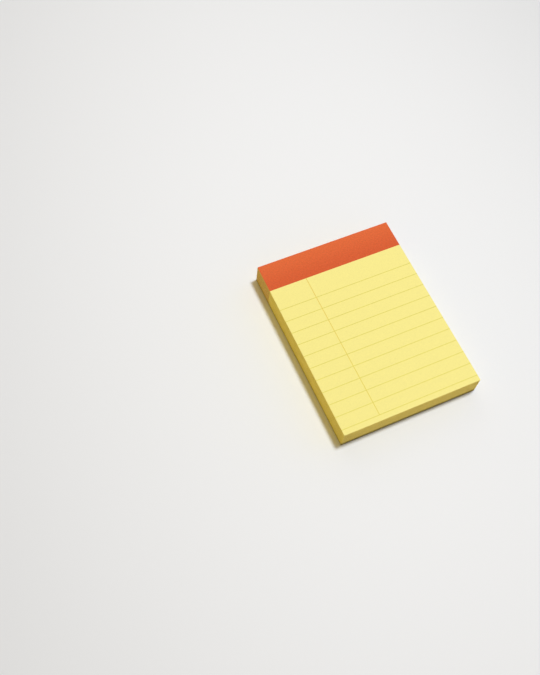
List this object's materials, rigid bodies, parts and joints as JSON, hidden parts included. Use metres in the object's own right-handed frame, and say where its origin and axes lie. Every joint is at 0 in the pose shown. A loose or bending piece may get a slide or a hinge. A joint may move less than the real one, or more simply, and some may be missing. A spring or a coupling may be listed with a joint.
{
  "type": "sticky note pad",
  "caption": "Pad of yellow ruled sticky notes with a red-orange header band and a margin line, glued at the head on a backing card.",
  "frame": {"origin": "middle of the pad's underside, on the surface that it lies on", "axes": "+X to the reader's right, +Y up the page towards the printed header, +Z out of the page"},
  "size_m": [0.0762, 0.1017, 0.0125],
  "materials": {
    "yellow_paper": "matte",
    "backing_card": "matte",
    "glue": "matte",
    "header_ink": "matte",
    "rule_ink": "matte",
    "margin_ink": "matte"
  },
  "bodies": {
    "root": {"note_block": "yellow_paper", "backing_card": "backing_card", "glue_strip": "glue", "header_band": "header_ink", "ruled_lines": "rule_ink", "margin_line": "margin_ink"}
  },
  "joints": []
}
